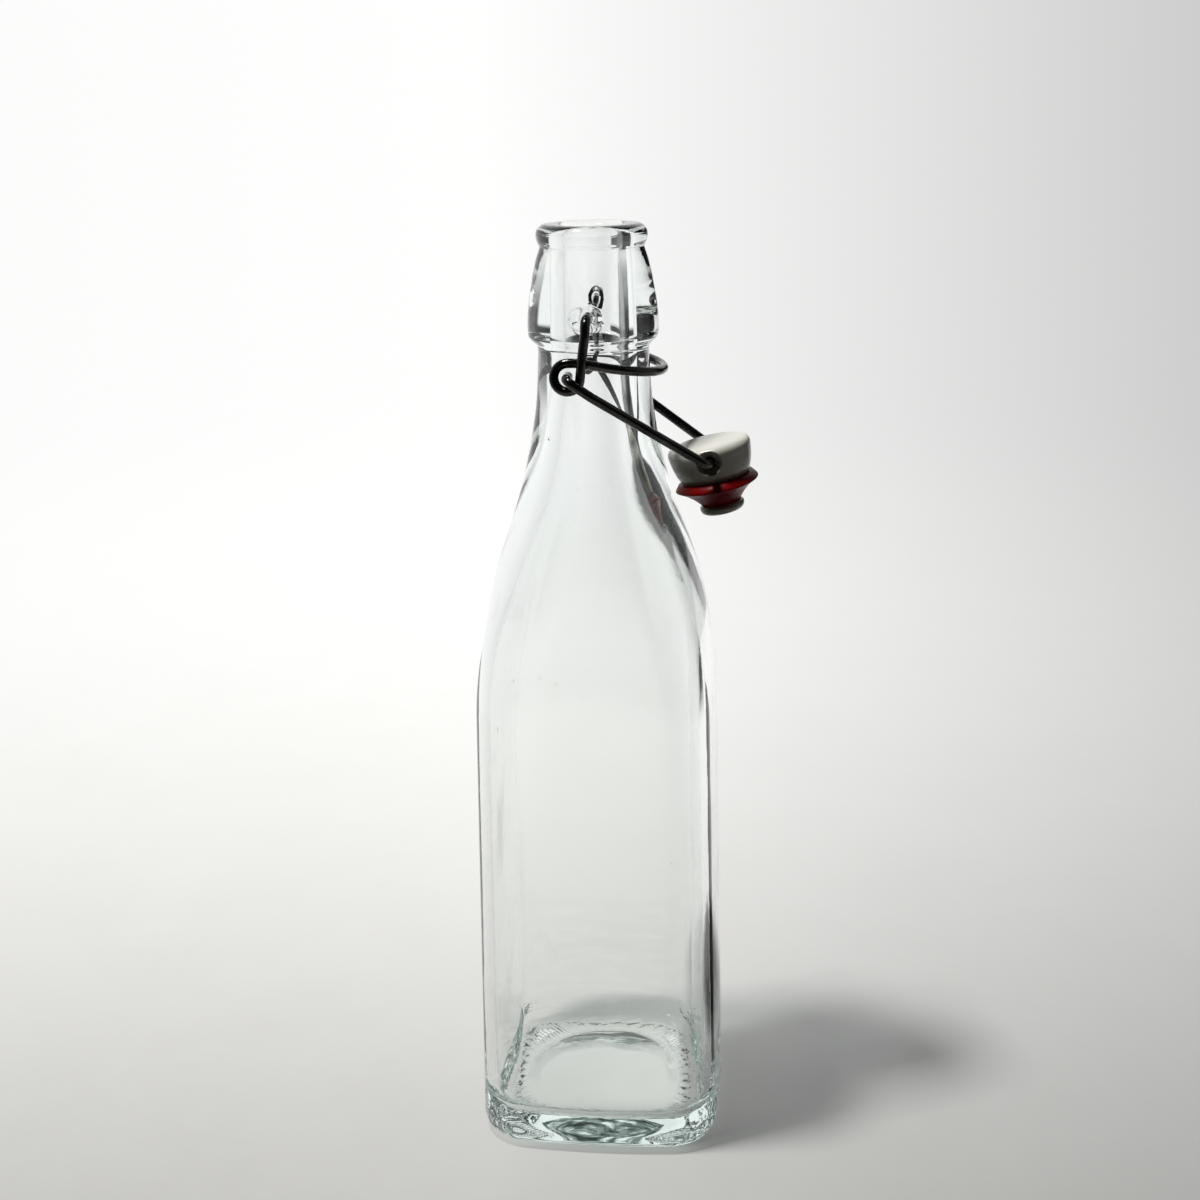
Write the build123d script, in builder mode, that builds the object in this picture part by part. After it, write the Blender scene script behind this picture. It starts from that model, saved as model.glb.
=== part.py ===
from build123d import *
from math import cos, pi, radians, sin
import os

# Swing-top glass bottle, half-litre class, with its closure hanging open.
# Millimetres, +Z up, origin on the ground under the middle of the base.
# The square body's faces are parallel to X and Y. The closure's pivot axis is
# parallel to Y, and the handle, the bail and the open stopper are on the +X side.

# -------------------------------------------------------- glass dimensions
HEIGHT = 243.2              # ground to the top of the lip
SHOULDER_FROM = 100.0       # height where the straight body meets the shoulder loft
NECK_FROM = 190.0           # height where the section becomes a circle
WALL = 3.2                  # glass thickness of the flat faces

BODY_HALF = 32.25           # half of the square body across its flats
BODY_CORNER = 13.0          # radius of the body's vertical corners
BODY_SWELL = 5.9            # half angle of the gentle arc of each face, degrees
HEEL_R = 4.6                # rounding where the faces meet the base

WELL_HALF = BODY_HALF - WALL
WELL_CORNER = 11.0          # radius of the cavity's vertical corners
WELL_SWELL = 5.5            # half angle of the cavity's face arcs, degrees
WELL_HEEL_R = 6.5           # rounding between the cavity's floor and its walls
FLOOR_Z = 6.6               # top of the base glass near its edge

NECK_R = 16.5               # outer radius at the foot of the neck
NECK_BORE_R = 8.9           # cavity radius at the foot of the neck
NECK_SWELL = 32.0           # face half angle reached there, degrees
CORNER_MARGIN = 0.05        # below the neck, corners stay this much under half the width
BORE_R = 7.75               # bore of the mouth and upper neck
BORE_FROM = 205.0           # height where the bore becomes straight
MOUTH_ROUND = 1.6           # rounding of the mouth's inner edge

PUNT_R = 22.0               # radius of the hollow under the base
PUNT_H = 2.6                # depth of that hollow
FLOOR_DOME_R = 20.0         # radius of the low dome on the cavity's floor
FLOOR_DOME_H = 1.8          # height of that dome
DOME_FLAT_R = 3.0           # hollow and dome are flat inside this radius

BEAD_Z = 240.6              # height of the lip bead's widest point
LIP_R = 15.25               # largest radius of the bead
LIP_TOP_R = LIP_R - 2.5     # outer radius of the flat top

# Outer glass of the shoulder: height, half width
SHOULDER = [
    (SHOULDER_FROM, BODY_HALF), (109.0, BODY_HALF), (116.0, 32.19), (121.5, 31.98),
    (127.0, 31.56), (132.5, 30.92), (138.0, 30.08), (143.5, 29.06), (149.5, 27.55),
    (155.5, 25.66), (161.5, 23.55), (167.5, 21.58), (173.5, 19.88), (179.5, 18.45),
    (185.0, 17.32), (NECK_FROM, NECK_R),
]
# Cavity inside the shoulder: height, half width
CAVITY = [
    (SHOULDER_FROM, WELL_HALF), (108.0, WELL_HALF), (115.0, 28.98), (121.0, 28.68),
    (127.5, 28.00), (134.0, 26.85), (140.5, 25.15), (147.5, 22.80), (154.5, 20.00),
    (161.5, 16.90), (168.5, 14.00), (175.0, 11.75), (181.5, 10.10),
    (NECK_FROM, NECK_BORE_R),
]
# Outer profiles of the neck, the step above it and the finish: radius, height
NECK = [
    (NECK_R, NECK_FROM), (16.00, 193.5), (15.66, 197.5), (15.42, 201.5),
    (15.24, 205.5), (15.12, 208.6),
]
STEP = [(15.3, 210.0), (17.2, 211.9)]
BARREL = [
    (17.72, 213.0), (17.88, 215.6), (17.70, 219.6), (17.34, 222.9), (16.80, 226.2),
    (16.22, 229.6), (15.58, 232.5), (14.86, 235.1), (14.32, 236.7),
]
# Taper of the bore above the cavity: radius, height
BORE_TAPER = [(NECK_BORE_R, NECK_FROM), (8.28, 195.0), (7.88, 200.0), (BORE_R, BORE_FROM)]

# Pivot dimple: a flared mouth that narrows to a blind hole for the wire's end
PIVOT_Z = 219.2             # height of the pivot axis
WIRE_HOLE_R = 1.39          # radius of the blind hole
DIMPLE_MOUTH_R = 3.9        # nominal radius of the dimple's mouth
DIMPLE_BOTTOM_Y = 11.6      # the hole ends this far from the bottle's axis
DIMPLE_OUTER_Y = 18.6       # outer end of the cutter, beyond the glass
# Radius about the pivot axis, distance from the bottle's axis
DIMPLE = [
    (0, DIMPLE_BOTTOM_Y), (WIRE_HOLE_R, DIMPLE_BOTTOM_Y), (WIRE_HOLE_R, 13.8),
    (WIRE_HOLE_R + 0.4, 14.6), (DIMPLE_MOUTH_R - 0.5, 16.6),
    (DIMPLE_MOUTH_R + 0.4, DIMPLE_OUTER_Y), (0, DIMPLE_OUTER_Y), (0, DIMPLE_BOTTOM_Y),
]

# --------------------------------------------------------- wire dimensions
# The _Y values are distances from the middle plane, y = 0.
WIRE_R = 1.3                # radius of both wires
EYE_X, EYE_Z = -5.2, 203.9  # centre of the lever's eyes
EYE_R = 3.6                 # centreline radius of an eye
EYE_TURN = 270.0            # angle the wire turns around an eye, degrees
EYE_STEPS = 12
PIVOT_YS = (12.0, 13.2, 14.4, 15.5)     # points of the straight pivot end
ARM_Y = 19.7                # lever's arms
ARM_BEND_R = 3.1            # bend from the pivot end into the arm
ARM_BEND_STEPS = 4
ARM_BEND_DRIFT = -0.03      # shift along X at each step of that bend
ARM = [(-0.55, 212.6), (-1.05, 208.8)]  # arm between bend and eye: x, z
HANDLE_START = (-1.7, 207.35)           # handle's arm just past the eye: x, z
HANDLE_Y = 16.95            # handle's arms, and the radius of its half-round end
HANDLE_X = 19.0             # reach of the handle from the bottle's axis
HANDLE_Z = 203.6            # height of the handle's end
HANDLE_SLOPE = 0.185        # the half-round falls this much per mm toward its end
HANDLE_STEPS = 8            # steps in each quarter of the half-round

BAIL_LENGTH = 44.2          # eye axis to stopper hole axis
BAIL_DIP = radians(33.85)   # the open bail hangs this far below horizontal
BAIL_STRAIGHT = 36.0        # legs are parallel from here to the eyes
BAIL_EYE_Y = 22.6           # legs at the eyes
BAIL_STUB_Y = 15.95         # tips of the hooked ends
BAIL_STOP_Y = 12.7          # where the legs turn into the stopper's cross hole
BAIL_BEND_R = 2.5
# One side of the bail: distance from the cross hole's axis, from the middle plane
BAIL_SIDE = [
    (BAIL_LENGTH, BAIL_STUB_Y), (BAIL_LENGTH, BAIL_EYE_Y),
    (BAIL_STRAIGHT, BAIL_EYE_Y), (0, BAIL_STOP_Y),
]

# ------------------------------------------- stopper and gasket dimensions
# Heights are along the stopper's own axis, from the cross hole.
STOP_X = EYE_X + BAIL_LENGTH * cos(BAIL_DIP)
STOP_Z = EYE_Z - BAIL_LENGTH * sin(BAIL_DIP)
TILT = radians(12.4)        # the hanging stopper leans this far from upright
STOP_PLANE = Plane(         # x is the stopper's radius, y runs up its axis
    origin=(STOP_X, 0, STOP_Z), x_dir=(cos(TILT), 0, sin(TILT)), z_dir=(0, -1, 0)
)
STOP_AXIS = Axis((STOP_X, 0, STOP_Z), (-sin(TILT), 0, cos(TILT)))

CROWN_R = 11.35             # largest radius of the crown
CROWN_SIDE = 2.2            # height of that largest radius
CROWN_TOP = 4.3             # edge of the crown's top
CROWN_TOP_R = 9.3           # radius there
CROWN_DOME = 0.5            # swell in the middle of the top
CROWN_LOW = -5.6            # underside of the crown
CROWN_LOW_R = 9.2           # radius there
STEM_R = 4.0                # stem that carries the gasket
NOSE_TOP = -12.75           # top of the mushroom nose
NOSE_SIDE = NOSE_TOP - 0.9  # height of the nose's largest radius
NOSE_R = 6.1                # radius of the nose
NOSE_TIP = -15.4            # end of the nose
NOSE_TIP_R = NOSE_R - 2.6   # radius of its flat end

CROSS_HOLE_R = 1.65         # hole for the bail
CROSS_FLARE_R = 3.9         # the hole flares out to this radius at the crown's side
# One half of the cross hole: radius, distance from the middle plane
CROSS_HALF = [
    (0, 13), (CROSS_FLARE_R + 0.9, 13), (CROSS_FLARE_R, 11.2), (CROSS_HOLE_R, 8.2),
]

GASKET_R = 11.5             # tip of the gasket's flare
GASKET_BORE_R = 4.06
GASKET_TOP = -5.75
GASKET_TOP_R = 10.2
GASKET_LOW = -12.6
GASKET_LOW_R = 5.45


# ----------------------------------------------------------- square sections
def section_lines(half, corner, swell):
    """Draws a square with arched faces in the BuildLine block that calls this.

    half is the distance to the middle of a face, corner the radius of the
    corners, swell the half angle of a face's arc in degrees. A corner as large
    as half gives a circle.
    """
    swell = radians(swell)
    slant = cos(swell) - sin(swell)
    face = (half - corner * slant) / (1 - slant)    # radius of a face's arc
    end_x, end_y = half - face + face * cos(swell), face * sin(swell)
    corner_mid = (face - corner) * sin(swell) + corner * cos(pi / 4)
    ends, mids = [], []
    for quarter in range(4):
        turn = quarter * pi / 2

        def turned(x, y):
            return x * cos(turn) - y * sin(turn), x * sin(turn) + y * cos(turn)

        ends += [turned(end_x, -end_y), turned(end_x, end_y)]
        mids += [turned(half, 0), turned(corner_mid, corner_mid)]
    for i in range(8):
        ThreePointArc(ends[i], mids[i], ends[(i + 1) % 8])


def eased(z, low, high, first, last):
    """Smooth step from first at height low to last at height high."""
    t = min(max((z - low) / (high - low), 0.0), 1.0)
    return first + (last - first) * t * t * (3 - 2 * t)


def limited_corner(z, half, corner):
    """A full circle from the neck up, and a corner short of one below it."""
    return half if z >= NECK_FROM else min(corner, half - CORNER_MARGIN)


def outer_shape(z, half):
    """Corner radius and face swell of the outer glass at height z."""
    corner = eased(z, 116, NECK_FROM, BODY_CORNER, NECK_R)
    swell = eased(z, 112, NECK_FROM, BODY_SWELL, NECK_SWELL)
    return limited_corner(z, half, corner), swell


def inner_shape(z, half):
    """Corner radius and face swell of the cavity at height z."""
    roundness = eased(z, 112, 182, 0.0, 1.0)
    corner = half * (WELL_CORNER / WELL_HALF * (1 - roundness) + roundness)
    swell = eased(z, 112, NECK_FROM, WELL_SWELL, NECK_SWELL)
    return limited_corner(z, half, corner), swell


def square_block(half, corner, swell, bottom, heel_r):
    """Straight block from bottom to the shoulder, rounded at its lower edge."""
    with BuildPart() as block:
        with BuildSketch(Plane.XY.offset(bottom)):
            with BuildLine():
                section_lines(half, corner, swell)
            make_face()
        extrude(amount=SHOULDER_FROM - bottom)
        fillet(block.edges().group_by(Axis.Z)[0], radius=heel_r)
    return block.part


def square_to_round(stations, shape):
    """Loft through the stations, with corner and swell given by shape."""
    with BuildPart() as transition:
        for height, half in stations:
            with BuildSketch(Plane.XY.offset(height)):
                with BuildLine():
                    section_lines(half, *shape(height, half))
                make_face()
        loft()
    return transition.part


# ------------------------------------------------------------------- bottle
def make_finish():
    """Neck, step, barrel-shaped finish and lip bead, solid to the axis."""
    lip_foot = (14.45, 237.4)
    bead_low = (LIP_R - 0.35, 238.9)
    bead_high = (LIP_R - 0.75, HEIGHT - 0.95)
    with BuildPart() as finish:
        with BuildSketch(Plane.XZ):
            with BuildLine():
                Spline(*NECK, tangents=[(-0.16, 1.0), (-0.02, 1.0)])
                Polyline(NECK[-1], *STEP, BARREL[0])
                Spline(*BARREL, tangents=[(0.12, 1.0), (-0.30, 1.0)])
                Line(BARREL[-1], lip_foot)
                Line(lip_foot, bead_low)
                ThreePointArc(bead_low, (LIP_R, BEAD_Z), bead_high)
                ThreePointArc(bead_high, (LIP_R - 1.45, HEIGHT - 0.3), (LIP_TOP_R, HEIGHT))
                Line((LIP_TOP_R, HEIGHT), (0, HEIGHT))
                Line((0, HEIGHT), (0, NECK_FROM))
                Line((0, NECK_FROM), NECK[0])
            make_face()
        revolve(axis=Axis.Z)
    return finish.part


def make_bore():
    """Cutter for the neck's bore and the rounded mouth, 2 mm past the lip."""
    mouth_r = BORE_R + MOUTH_ROUND
    mouth_from = (BORE_R, HEIGHT - MOUTH_ROUND)
    with BuildPart() as bore:
        with BuildSketch(Plane.XZ):
            with BuildLine():
                Line((0, NECK_FROM), BORE_TAPER[0])
                Spline(*BORE_TAPER, tangents=[(-0.14, 1.0), (0.0, 1.0)])
                Line(BORE_TAPER[-1], mouth_from)
                ThreePointArc(mouth_from, (BORE_R + 0.47, HEIGHT - 0.47), (mouth_r, HEIGHT))
                Polyline((mouth_r, HEIGHT), (mouth_r, HEIGHT + 2), (0, HEIGHT + 2),
                         (0, NECK_FROM))
            make_face()
        revolve(axis=Axis.Z)
    return bore.part


def low_dome(radius, height, base_z):
    """Flat-topped dome that also reaches 1 mm below base_z."""
    top_z = base_z + height
    with BuildPart() as dome:
        with BuildSketch(Plane.XZ):
            with BuildLine():
                Polyline((DOME_FLAT_R, top_z), (0, top_z), (0, base_z - 1),
                         (radius, base_z - 1), (radius, base_z))
                ThreePointArc((radius, base_z), (0.62 * radius, base_z + 0.66 * height),
                              (DOME_FLAT_R, top_z))
            make_face()
        revolve(axis=Axis.Z)
    return dome.part


def make_dimple():
    """Cutter for the pivot dimple on the -Y side."""
    with BuildPart() as dimple:
        with BuildSketch(Plane.XY.offset(PIVOT_Z)):
            with BuildLine():
                Polyline(*[(radius, -y) for radius, y in DIMPLE])
            make_face()
        revolve(axis=Axis((0, 0, PIVOT_Z), (0, 1, 0)))
    return dimple.part


def make_bottle():
    body = square_block(BODY_HALF, BODY_CORNER, BODY_SWELL, 0, HEEL_R)
    shoulder = square_to_round(SHOULDER, outer_shape)
    finish = make_finish()
    well = square_block(WELL_HALF, WELL_CORNER, WELL_SWELL, FLOOR_Z, WELL_HEEL_R)
    cavity = square_to_round(CAVITY, inner_shape)
    bore = make_bore()
    punt = low_dome(PUNT_R, PUNT_H, 0)
    floor_dome = low_dome(FLOOR_DOME_R, FLOOR_DOME_H, FLOOR_Z)
    dimple = make_dimple()
    with BuildPart() as bottle:
        for solid in (body, shoulder, finish):
            add(solid)
        for cutter in (well, cavity, bore, punt):
            add(cutter, mode=Mode.SUBTRACT)
        add(floor_dome)
        add(dimple, mode=Mode.SUBTRACT)
        add(dimple.mirror(Plane.XZ), mode=Mode.SUBTRACT)
    return bottle.part


# -------------------------------------------------------------------- wires
def lever_side():
    """Centreline on the -Y side, from the dimple to just short of y = 0."""
    points = [(0.0, -y, PIVOT_Z) for y in PIVOT_YS]
    for step in range(ARM_BEND_STEPS + 1):
        angle = radians(90 / ARM_BEND_STEPS * step)
        points.append((
            ARM_BEND_DRIFT * step,
            -(ARM_Y - ARM_BEND_R) - ARM_BEND_R * sin(angle),
            PIVOT_Z - ARM_BEND_R + ARM_BEND_R * cos(angle),
        ))
    points += [(x, -ARM_Y, z) for x, z in ARM]
    # The eye, easing inward from the arm's plane to the handle's
    for step in range(EYE_STEPS + 1):
        t = step / EYE_STEPS
        angle = radians(-EYE_TURN * t)
        points.append((
            EYE_X + EYE_R * cos(angle),
            -eased(t, 0, 1, ARM_Y, HANDLE_Y),
            EYE_Z + EYE_R * sin(angle),
        ))
    points.append((HANDLE_START[0], -HANDLE_Y, HANDLE_START[1]))
    for step in range(HANDLE_STEPS):
        angle = radians(90 / HANDLE_STEPS * step)
        x = HANDLE_X - HANDLE_Y + HANDLE_Y * sin(angle)
        z = HANDLE_Z + (HANDLE_X - x) * HANDLE_SLOPE
        points.append((x, -HANDLE_Y * cos(angle), z))
    return points


def make_lever_wire():
    side = lever_side()
    other_side = [(x, -y, z) for x, y, z in reversed(side)]
    points = side + [(HANDLE_X, 0.0, HANDLE_Z)] + other_side
    with BuildPart() as lever_wire:
        with BuildLine() as path:
            Spline(*points, tangents=[(0, -1, 0), (0, -1, 0)])
        with BuildSketch(Plane(origin=points[0], z_dir=(0, -1, 0))):
            Circle(WIRE_R)
        sweep(path=path.wires()[0])
    return lever_wire.part


def make_bail_wire():
    """The bail, flat in a plane through the eyes and the stopper's cross hole."""
    bail_plane = Plane(
        origin=(STOP_X, 0, STOP_Z),
        x_dir=(-cos(BAIL_DIP), 0, sin(BAIL_DIP)),
        z_dir=(sin(BAIL_DIP), 0, cos(BAIL_DIP)),
    )
    other_side = [(x, -y) for x, y in reversed(BAIL_SIDE)]
    with BuildPart() as bail_wire:
        with BuildLine(bail_plane) as path:
            FilletPolyline(*BAIL_SIDE, *other_side, radius=BAIL_BEND_R)
        wire = path.wires()[0]
        with BuildSketch(Plane(origin=wire @ 0, z_dir=wire % 0)):
            Circle(WIRE_R)
        sweep(path=wire)
    return bail_wire.part


# ------------------------------------------------------ stopper and gasket
def make_cross_hole():
    """Cutter for the bail's hole, flared at both ends."""
    profile = [(STOP_X + radius, -y) for radius, y in CROSS_HALF]
    profile += [(x, -y) for x, y in reversed(profile)]
    with BuildPart() as cross_hole:
        with BuildSketch(Plane.XY.offset(STOP_Z)):
            with BuildLine():
                Polyline(*profile, profile[0])
            make_face()
        revolve(axis=Axis((STOP_X, 0, STOP_Z), (0, 1, 0)))
    return cross_hole.part


def make_stopper():
    cross_hole = make_cross_hole()
    top_middle = (0, CROWN_TOP + CROWN_DOME)
    top_edge = (CROWN_TOP_R, CROWN_TOP)
    crown_side = (CROWN_R, CROWN_SIDE)
    crown_low = (CROWN_LOW_R, CROWN_LOW)
    nose_top = (NOSE_R - 0.45, NOSE_TOP)
    nose_side = (NOSE_R, NOSE_SIDE)
    nose_tip = (NOSE_TIP_R, NOSE_TIP)
    with BuildPart() as stopper:
        with BuildSketch(STOP_PLANE):
            with BuildLine():
                ThreePointArc(top_middle, (4.7, CROWN_TOP + 0.38), top_edge)
                ThreePointArc(top_edge, (10.75, 3.65), crown_side)
                Spline(crown_side, (10.95, -1.0), (9.95, -4.2), crown_low,
                       tangents=[(0.0, -1.0), (-0.5, -0.87)])
                Polyline(crown_low, (STEM_R, CROWN_LOW), (STEM_R, NOSE_TOP))
                Line((STEM_R, NOSE_TOP), nose_top)
                ThreePointArc(nose_top, (NOSE_R - 0.08, NOSE_TOP - 0.35), nose_side)
                ThreePointArc(nose_side, (NOSE_R - 0.75, NOSE_TIP + 0.55), nose_tip)
                Line(nose_tip, (0, NOSE_TIP))
                Line((0, NOSE_TIP), top_middle)
            make_face()
        revolve(axis=STOP_AXIS)
        add(cross_hole, mode=Mode.SUBTRACT)
    return stopper.part


def make_gasket():
    """Ring around the stem, flared under the crown."""
    bore_top = (GASKET_BORE_R, GASKET_TOP)
    bore_low = (GASKET_BORE_R, GASKET_LOW)
    top_edge = (GASKET_TOP_R, GASKET_TOP)
    low_edge = (GASKET_LOW_R, GASKET_LOW)
    flare_top = (GASKET_R - 0.15, -7.1)
    flare_low = (GASKET_R - 0.25, -7.85)
    with BuildPart() as gasket:
        with BuildSketch(STOP_PLANE):
            with BuildLine():
                Line(bore_top, top_edge)
                Line(top_edge, flare_top)
                ThreePointArc(flare_top, (GASKET_R, -7.5), flare_low)
                Spline(flare_low, (9.1, -8.95), (6.9, -10.6), low_edge,
                       tangents=[(-1.0, -0.42), (-0.3, -1.0)])
                Line(low_edge, bore_low)
                Line(bore_low, bore_top)
            make_face()
        revolve(axis=STOP_AXIS)
    return gasket.part


# ------------------------------------------------------------------- export
pieces = {
    "bottle": make_bottle(),
    "lever_wire": make_lever_wire(),
    "bail_wire": make_bail_wire(),
    "stopper": make_stopper(),
    "gasket": make_gasket(),
}
os.makedirs("parts", exist_ok=True)
for name, piece in pieces.items():
    piece.label = name
    export_step(piece, f"parts/{name}.step")
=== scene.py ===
import math

import bmesh
import bpy
import numpy as np
from mathutils import Matrix, Vector


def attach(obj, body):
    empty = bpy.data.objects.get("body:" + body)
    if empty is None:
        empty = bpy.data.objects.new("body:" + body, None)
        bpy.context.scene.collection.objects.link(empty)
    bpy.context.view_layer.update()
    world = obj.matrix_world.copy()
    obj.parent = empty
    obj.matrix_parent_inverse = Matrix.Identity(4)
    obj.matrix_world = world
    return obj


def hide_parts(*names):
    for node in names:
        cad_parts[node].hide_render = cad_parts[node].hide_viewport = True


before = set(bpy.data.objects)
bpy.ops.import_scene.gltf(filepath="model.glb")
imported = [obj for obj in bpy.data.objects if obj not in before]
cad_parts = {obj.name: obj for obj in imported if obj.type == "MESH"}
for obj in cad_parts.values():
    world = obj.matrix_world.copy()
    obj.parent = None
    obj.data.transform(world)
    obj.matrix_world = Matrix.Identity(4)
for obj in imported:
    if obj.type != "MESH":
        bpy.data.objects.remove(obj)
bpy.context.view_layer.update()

MM = 0.001
N = 280                      # points round every ring of the glass

# ------------------------------------------------------------ dimensions (mm)
HEIGHT = 243.2
BODY_HALF, BODY_CORNER, BODY_SWELL, HEEL_R = 32.25, 13.0, 5.9, 4.6
INNER_HALF, INNER_CORNER, INNER_HEEL_R, FLOOR_Z = 29.05, 11.0, 6.5, 6.6
NECK_FROM, BORE_R = 190.0, 7.75
PUNT_R, PUNT_H, FLAT_R = 22.0, 2.6, 3.0
FLOOR_DOME_R, FLOOR_DOME_H = 20.0, 1.8
PIVOT_Z = 219.2
LIP_R, BEAD_Z = 15.25, 240.6
SHOULDER = [
    (100.0, 32.25), (109.0, 32.25), (116.0, 32.19), (121.5, 31.98), (127.0, 31.56),
    (132.5, 30.92), (138.0, 30.08), (143.5, 29.06), (149.5, 27.55), (155.5, 25.66),
    (161.5, 23.55), (167.5, 21.58), (173.5, 19.88), (179.5, 18.45), (185.0, 17.32),
    (190.0, 16.50),
]
CAVITY = [
    (100.0, 29.05), (108.0, 29.05), (115.0, 28.98), (121.0, 28.68), (127.5, 28.00),
    (134.0, 26.85), (140.5, 25.15), (147.5, 22.80), (154.5, 20.00), (161.5, 16.90),
    (168.5, 14.00), (175.0, 11.75), (181.5, 10.10), (190.0, 8.90),
]
NECK = [(16.50, 190.0), (16.00, 193.5), (15.66, 197.5), (15.42, 201.5), (15.24, 205.5), (15.12, 208.6)]
BARREL = [
    (17.72, 213.0), (17.88, 215.6), (17.70, 219.6), (17.34, 222.9), (16.80, 226.2),
    (16.22, 229.6), (15.58, 232.5), (14.86, 235.1), (14.32, 236.7),
]
WIRE_R = 1.3
EYE, EYE_R = (-5.2, 203.9), 3.6
ARM_Y, WIRE_END_Y, HANDLE_Y, HANDLE_X, HANDLE_Z, HANDLE_SLOPE = 19.7, 12.0, 16.95, 19.0, 203.6, 0.185
BAIL_LENGTH, BAIL_DIP, BAIL_EYE_Y, BAIL_STUB_Y, BAIL_STOP_Y = 44.2, math.radians(33.85), 22.6, 15.95, 12.7
TILT = math.radians(12.4)
STOP = (EYE[0] + BAIL_LENGTH * math.cos(BAIL_DIP), EYE[1] - BAIL_LENGTH * math.sin(BAIL_DIP))


# ------------------------------------------------------------------- helpers
class Cubic:
    """A cubic spline through points at parameters x, with chosen end slopes or natural ends."""

    def __init__(self, x, y, d0=None, d1=None):
        x, y = np.asarray(x, float), np.asarray(y, float)
        n = len(x)
        h = np.diff(x)
        a = np.zeros((n, n))
        b = np.zeros(n)
        if d0 is None:
            a[0, 0] = 1
        else:
            a[0, 0], a[0, 1] = 2 * h[0], h[0]
            b[0] = 6 * ((y[1] - y[0]) / h[0] - d0)
        if d1 is None:
            a[-1, -1] = 1
        else:
            a[-1, -1], a[-1, -2] = 2 * h[-1], h[-1]
            b[-1] = 6 * (d1 - (y[-1] - y[-2]) / h[-1])
        for i in range(1, n - 1):
            a[i, i - 1], a[i, i], a[i, i + 1] = h[i - 1], 2 * (h[i - 1] + h[i]), h[i]
            b[i] = 6 * ((y[i + 1] - y[i]) / h[i] - (y[i] - y[i - 1]) / h[i - 1])
        self.x, self.y, self.h, self.m = x, y, h, np.linalg.solve(a, b)

    def __call__(self, t):
        t = np.asarray(t, float)
        i = np.clip(np.searchsorted(self.x, t, side="right") - 1, 0, len(self.h) - 1)
        h, u, v = self.h[i], self.x[i + 1] - t, t - self.x[i]
        m0, m1 = self.m[i], self.m[i + 1]
        return (
            m0 * u**3 / (6 * h) + m1 * v**3 / (6 * h)
            + (self.y[i] / h - m0 * h / 6) * u + (self.y[i + 1] / h - m1 * h / 6) * v
        )


def path_spline(points, t0=None, t1=None, count=400):
    """Points along a smooth curve through the given ones, evenly dense."""
    p = np.asarray(points, float)
    s = np.concatenate([[0], np.cumsum(np.linalg.norm(np.diff(p, axis=0), axis=1))])
    axes = [
        Cubic(s, p[:, k], None if t0 is None else t0[k], None if t1 is None else t1[k])
        for k in range(p.shape[1])
    ]
    t = np.linspace(0, s[-1], count)
    return np.stack([f(t) for f in axes], axis=1)


def ease(z, low, high, first, last):
    t = min(max((z - low) / (high - low), 0.0), 1.0)
    return first + (last - first) * t * t * (3 - 2 * t)


def wave(seed, x, y, z, scale):
    """Smooth repeatable unevenness in -1..1, from a few crossed sines."""
    r = np.random.RandomState(seed)
    out = 0.0
    for k in range(6):
        d = r.normal(size=3)
        d /= np.linalg.norm(d)
        f = (0.6 + 0.9 * r.rand()) * 2 * math.pi / scale
        out = out + np.sin(f * (d[0] * x + d[1] * y + d[2] * z) + r.rand() * 6.28)
    return out / 6


def section(half, corner, swell, n=N):
    """n points round a square with arched faces and round corners; a circle when corner equals half."""
    corner = min(corner, half)
    k = math.cos(swell) - math.sin(swell)
    face = (half - corner * k) / (1 - k)
    centre = (face - corner) * math.sin(swell)
    nf = n // 8
    nc = n // 4 - nf
    quarter = []
    for i in range(nf):
        a = -swell + 2 * swell * i / nf
        quarter.append((half - face + face * math.cos(a), face * math.sin(a)))
    for i in range(nc):
        a = swell + (math.pi / 2 - 2 * swell) * i / nc
        quarter.append((centre + corner * math.cos(a), centre + corner * math.sin(a)))
    q = np.array(quarter)
    out = []
    for t in range(4):
        c, s = round(math.cos(t * math.pi / 2)), round(math.sin(t * math.pi / 2))
        out.append(np.stack([q[:, 0] * c - q[:, 1] * s, q[:, 0] * s + q[:, 1] * c], axis=1))
    return np.concatenate(out)


def ring(half, corner, swell, z):
    xy = section(half, corner, swell)
    return np.column_stack([xy, np.full(len(xy), z)])


def new_object(name, verts, faces, smooth=True):
    mesh = bpy.data.meshes.new(name)
    mesh.from_pydata([tuple(v) for v in verts], [], faces)
    mesh.validate()
    if smooth:
        mesh.polygons.foreach_set("use_smooth", [True] * len(mesh.polygons))
    mesh.update()
    obj = bpy.data.objects.new(name, mesh)
    bpy.context.scene.collection.objects.link(obj)
    return obj


def skin(rings, closed_ends=True):
    """Faces of a tube made of rings of equal length, with a centre point at each end."""
    n = len(rings[0])
    verts = np.concatenate(rings)
    faces = []
    for i in range(len(rings) - 1):
        a, b = i * n, (i + 1) * n
        for j in range(n):
            k = (j + 1) % n
            faces.append((a + j, a + k, b + k, b + j))
    if closed_ends:
        first, last = rings[0].mean(0), rings[-1].mean(0)
        verts = np.concatenate([verts, [first], [last]])
        p, q = len(verts) - 2, len(verts) - 1
        end = (len(rings) - 1) * n
        for j in range(n):
            k = (j + 1) % n
            faces.append((p, k, j))
            faces.append((q, end + j, end + k))
    return verts, faces


def fix_normals(obj):
    bm = bmesh.new()
    bm.from_mesh(obj.data)
    bmesh.ops.recalc_face_normals(bm, faces=bm.faces)
    bm.to_mesh(obj.data)
    bm.free()
    obj.data.update()


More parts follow.
